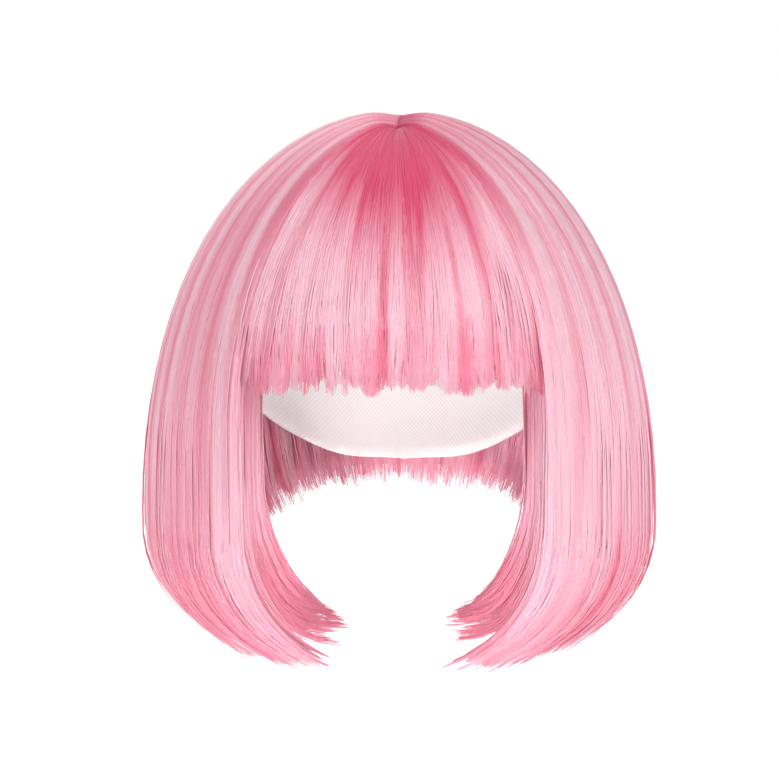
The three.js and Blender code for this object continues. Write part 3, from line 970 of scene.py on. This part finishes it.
def hair_finish(name, fibre, gap_shade=0.0):
    """Satin synthetic fibre: deep pink at the roots, which is painted root shadow, then middle pink with
    lighter streaks that follow the hair, and deeper tips, which are painted shade. A base is a little
    deeper than its strands, which is painted shade in the gaps between them, and has its fibres as bump."""
    colours = settings().colours
    finish = Finish(name)
    along = finish.attribute("along")
    across = finish.attribute("across")
    tone = finish.attribute("tone")

    def streaks(look):
        """Noise that changes quickly across the hair and slowly along it."""
        place = finish.vector(across * (fibre.streaks * look.closer), along * look.along, look.slice)
        return finish.noise(place, 1.0, look.detail)

    broad = streaks(BROAD)
    fine = streaks(FINE)
    # A base's extra depth is painted shade in the gaps between the strands.
    darker = LIGHTNESS.less + fibre.shade + gap_shade
    lightness = finish.rise(broad, *STREAK_LIGHT) + tone + LIGHTNESS.fine * fine - darker
    if fibre.front:
        at_front = 1.0 - finish.rise(across, *FRONT_LIGHT.across)
        lightness = lightness + fibre.front * (at_front * finish.rise(along, *FRONT_LIGHT.along))
    # Painted shade: the lower lengths, which turn down and away from the light above, are deeper.
    if fibre.tips:
        lightness = lightness - fibre.tips * finish.rise(along, *TIPS_PAINTED_SHADE)
    # Painted root shadow: deep pink at the roots that fades along the hair, reaching further at the front
    # edge.
    reach = along + ROOT_SHADE_STREAK * (broad - 0.5) + ROOT_SHADE_TONE * (tone - 0.5)
    if fibre.narrows:
        aside = across - 0.5
        reach = reach + fibre.narrows * aside * aside
    painted_root_shade = fibre.root_depth
    if fibre.edge_depth:
        edge = 1.0 - finish.rise(across, 0.0, SHADED_EDGE_WIDTH)
        reach = reach - fibre.edge_reach * edge
        painted_root_shade = painted_root_shade + fibre.edge_depth * edge
    past_root_shade = finish.rise(reach, fibre.root_from, fibre.root_to)
    deepest = (1.0 - past_root_shade) * painted_root_shade + STREAK_DEPTH * (1.0 - finish.rise(broad, *STREAK_DEEP))
    lengths = finish.mix(lightness, rgba(colours.middle), rgba(colours.light))
    finish.set(Base_Color=finish.mix(deepest, lengths, rgba(colours.deep)))
    finish.set(Roughness=SATIN.roughness + SATIN.varies * fine)
    finish.set(Specular_IOR_Level=SATIN.specular, IOR=SATIN.ior)
    finish.set(Sheen_Weight=SATIN.sheen, Sheen_Roughness=SATIN.sheen_roughness)
    if gap_shade:
        finish.bump(BASE_BUMP.strength, BASE_BUMP.height, streaks(RIDGES))
    return finish.material


def net_finish():
    """Fine pale net: crossed threads as bump, a little darker in the holes."""
    colours = settings().colours
    finish = Finish("cap_net")
    u = finish.attribute("across")
    v = finish.attribute("along")
    down = NET.threads * NET.slant
    one = finish.wave(u * NET.threads + v * down)
    other = finish.wave(u * NET.threads - v * down)
    weave = one + other - one * other
    holes = tuple(NET.holes * value for value in colours.net)
    finish.set(Base_Color=finish.mix(weave, rgba(holes), rgba(colours.net)))
    finish.set(Roughness=NET.roughness + NET.varies * (1.0 - weave))
    finish.set(Specular_IOR_Level=NET.specular, Sheen_Weight=NET.sheen)
    finish.bump(NET.strength, NET.height, weave)
    return finish.material


def floor_finish():
    """A plain white floor that gives some light back."""
    finish = Finish("floor")
    grain = finish.noise(finish.node("ShaderNodeTexCoord", output="Object"), FLOOR.grain, FLOOR.detail)
    finish.set(Base_Color=rgba(settings().colours.floor), Roughness=FLOOR.roughness + FLOOR.varies * grain)
    finish.set(Emission_Color=WHITE, Emission_Strength=FLOOR.glow)
    return finish.material


# Operators

class WIG_OT_cap(bpy.types.Operator):
    """Make the net cap with its bound edge."""

    bl_idname = "wig.cap"
    bl_label = "Cap"

    def execute(self, context):
        shape = settings().shape
        turn = np.linspace(0.0, 360.0, CAP_GRID.columns, endpoint=False)[:, None]
        edge = table_at(CAP_EDGE, one_side(turn))[..., 0]
        lowest = np.arccos((edge + shape.cap_height) / shape.cap_height)
        there = np.linspace(0.0, 1.0, CAP_GRID.rows)
        down = np.concatenate([there, there[::-1]])[None]
        wall = np.concatenate([np.full_like(there, shape.cap_wall), np.zeros_like(there)])[None]
        hem = smooth(down, *CAP_HEM.starts) * (1.0 - smooth(down, *CAP_HEM.ends))
        wall = wall + CAP_HEM.stands * hem * np.sign(wall - shape.cap_wall / 2.0)
        tilt = lowest * down
        angle = np.radians(turn)
        depth = np.where(np.cos(angle) > 0.0, shape.cap_front, shape.cap_back) + wall
        points = np.stack([
            (shape.cap_half_width + wall) * np.sin(tilt) * np.sin(angle),
            -depth * np.sin(tilt) * np.cos(angle),
            (shape.cap_height + wall) * np.cos(tilt) - shape.cap_height,
        ], axis=-1)
        values = {
            "along": np.broadcast_to(down, tilt.shape),
            "across": np.broadcast_to(turn / 360.0, tilt.shape),
        }
        add_piece("cap_net", capped_ring_mesh("cap_net", points, values), net_finish(), "cap")
        return {"FINISHED"}


class WIG_OT_fringe(bpy.types.Operator):
    """Comb the fringe from the head of the parting."""

    bl_idname = "wig.fringe"
    bl_label = "Fringe"

    def execute(self, context):
        add_hair(HairMass("fringe", fringe_faces), "fringe", "fringe")
        return {"FINISHED"}


class WIG_OT_sides(bpy.types.Operator):
    """Comb the outer hair of both sides from the parting."""

    bl_idname = "wig.sides"
    bl_label = "Side hair"

    def execute(self, context):
        for side, mirror in SIDES.items():
            mass = HairMass("side", side_faces, mirror)
            add_hair(mass, "side", f"side_hair_{side}", side)
        return {"FINISHED"}


class WIG_OT_under(bpy.types.Operator):
    """Comb the darker layer under the side hair."""

    bl_idname = "wig.under"
    bl_label = "Under hair"

    def execute(self, context):
        for side, mirror in SIDES.items():
            mass = HairMass("side", under_faces, mirror, UNDER.start)
            add_hair(mass, "under", f"under_hair_{side}", side)
        return {"FINISHED"}


class WIG_OT_back(bpy.types.Operator):
    """Comb the back hair from the crown to the nape."""

    bl_idname = "wig.back"
    bl_label = "Back hair"

    def execute(self, context):
        add_hair(HairMass("back", back_faces), "back", "back_hair")
        return {"FINISHED"}


class WIG_OT_stage(bpy.types.Operator):
    """Set the camera, the lights and a plain floor."""

    bl_idname = "wig.stage"
    bl_label = "Stage"

    def execute(self, context):
        stage = settings().stage
        scene = context.scene
        scene.view_settings.view_transform = "Standard"
        scene.world = bpy.data.worlds.new("studio")
        scene.world.use_nodes = True
        self.light_world(scene.world.node_tree, stage)
        self.add_camera(scene, stage)
        for light in LIGHTS:
            self.add_light(scene, light, light.aim or (0.0, 0.0, stage.aim_up), getattr(stage, light.name))
        self.add_floor(scene, stage)
        return {"FINISHED"}

    def light_world(self, tree, stage):
        """White light from all round, which the camera sees as plain white."""
        sky = tree.nodes["Background"]
        seen = tree.nodes.new("ShaderNodeLightPath")
        strength = tree.nodes.new("ShaderNodeMapRange")
        strength.inputs["To Min"].default_value = stage.ambient
        strength.inputs["To Max"].default_value = 1.0
        tree.links.new(seen.outputs["Is Camera Ray"], strength.inputs["Value"])
        tree.links.new(strength.outputs["Result"], sky.inputs["Strength"])
        sky.inputs["Color"].default_value = WHITE

    def add_camera(self, scene, stage):
        """A camera on a sphere round the wig, aimed at the middle of the photo's frame."""
        data = bpy.data.cameras.new("camera")
        camera = bpy.data.objects.new("camera", data)
        scene.collection.objects.link(camera)
        azimuth, elevation = stage.azimuth, stage.elevation
        level = math.cos(elevation)
        away = Vector((math.sin(azimuth) * level, -math.cos(azimuth) * level, math.sin(elevation)))
        right = Vector((math.cos(azimuth), math.sin(azimuth), 0.0))
        up = away.cross(right)
        camera.location = away * stage.distance + right * stage.aim_right + up * stage.aim_up
        camera.rotation_euler = away.to_track_quat("Z", "Y").to_euler()
        data.sensor_width = SENSOR_WIDTH_MM
        data.lens = SENSOR_WIDTH_MM * stage.distance / stage.frame_width
        data.clip_end = CAMERA_REACH
        scene.camera = camera

    def add_light(self, scene, light, aim, watts):
        """A square soft light at a place that faces a point."""
        data = bpy.data.lights.new(light.name, "AREA")
        data.size = light.size
        data.spread = math.radians(light.spread)
        data.energy = watts
        lamp = bpy.data.objects.new(light.name, data)
        lamp.location = light.place
        lamp.rotation_euler = (Vector(light.place) - Vector(aim)).to_track_quat("Z", "Y").to_euler()
        scene.collection.objects.link(lamp)

    def add_floor(self, scene, stage):
        """A wide round floor: a ring of points joined to its middle by triangles."""
        spokes = np.arange(FLOOR.spokes)
        angle = spokes * 2.0 * np.pi / FLOOR.spokes
        ring = FLOOR.reach * np.stack([np.cos(angle), np.sin(angle)], axis=-1)
        plan = np.concatenate([ring, np.zeros((1, 2))])
        points = np.column_stack([plan, np.full(len(plan), stage.floor_level)])
        triangles = np.stack([spokes, np.roll(spokes, -1), np.full_like(spokes, FLOOR.spokes)], axis=-1)
        mesh = bpy.data.meshes.new("floor")
        mesh.from_pydata(points, [], triangles)
        mesh.materials.append(floor_finish())
        floor = bpy.data.objects.new("floor", mesh)
        scene.collection.objects.link(floor)


class WIG_PT_panel(bpy.types.Panel):
    """The wig's pieces in the sidebar."""

    bl_idname = "WIG_PT_panel"
    bl_label = "Bob wig"
    bl_space_type = "VIEW_3D"
    bl_region_type = "UI"
    bl_category = "Wig"

    def draw(self, context):
        for operator in OPERATORS:
            self.layout.operator(operator.bl_idname)


OPERATORS = (WIG_OT_cap, WIG_OT_fringe, WIG_OT_sides, WIG_OT_under, WIG_OT_back, WIG_OT_stage)
GROUPS = {
    "wig_shape": WigShape,
    "wig_strands": WigStrands,
    "wig_colours": WigColours,
    "wig_stage": WigStage,
}
CLASSES = (*GROUPS.values(), *OPERATORS, WIG_PT_panel)


def register():
    """Registers the classes and puts the properties on scenes."""
    for kind in CLASSES:
        bpy.utils.register_class(kind)
    for name, group in GROUPS.items():
        setattr(bpy.types.Scene, name, PointerProperty(type=group))


def unregister():
    """Takes the properties off scenes and the classes out."""
    for name in GROUPS:
        delattr(bpy.types.Scene, name)
    for kind in reversed(CLASSES):
        bpy.utils.unregister_class(kind)


def main():
    """Makes the pieces and the stage."""
    register()
    bpy.ops.wig.cap()
    bpy.ops.wig.fringe()
    bpy.ops.wig.sides()
    bpy.ops.wig.under()
    bpy.ops.wig.back()
    bpy.ops.wig.stage()


if __name__ == "__main__":
    main()
